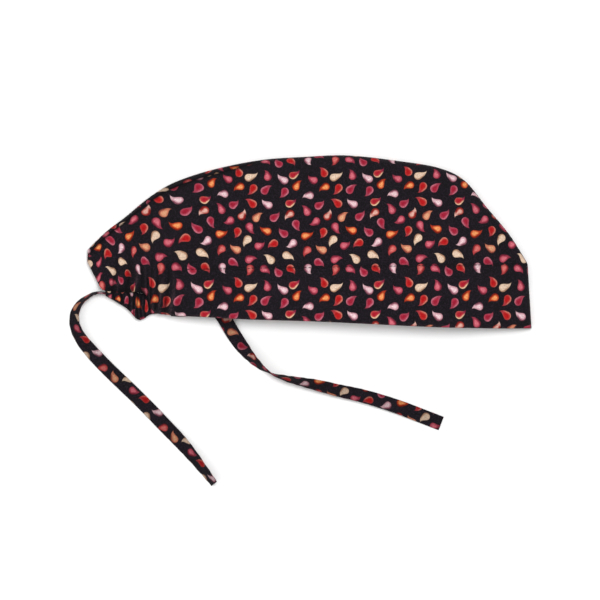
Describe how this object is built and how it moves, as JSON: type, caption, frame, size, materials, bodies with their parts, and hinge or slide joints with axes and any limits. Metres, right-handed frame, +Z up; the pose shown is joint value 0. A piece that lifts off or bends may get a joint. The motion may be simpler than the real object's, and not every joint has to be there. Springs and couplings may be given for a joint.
{
  "type": "tie-back surgical scrub cap",
  "caption": "Soft printed cotton scrub cap lying on its side, with a centre seam, a deep turned-in hem, a gathered nape casing and flat ties that fasten at the back of the head.",
  "frame": {"origin": "middle of the cap's footprint, without the ties, on the surface it lies on", "axes": "+Z up from the surface, +X towards the front of the cap, +Y towards its crown; the opening for the head faces -Y"},
  "size_m": [0.3231, 0.2312, 0.0289],
  "materials": {
    "printed_cotton": "matte woven cotton, black with a small all-over print of red, pink, orange and cream drops",
    "cotton_tape": "matte woven cotton, the same printed cloth folded into a flat tape"
  },
  "bodies": {
    "root": {"right_side_panel": "printed_cotton", "left_side_panel": "printed_cotton", "rim_hem": "printed_cotton", "nape_casing": "printed_cotton", "back_tie": "cotton_tape", "rim_tie": "cotton_tape"}
  },
  "joints": []
}
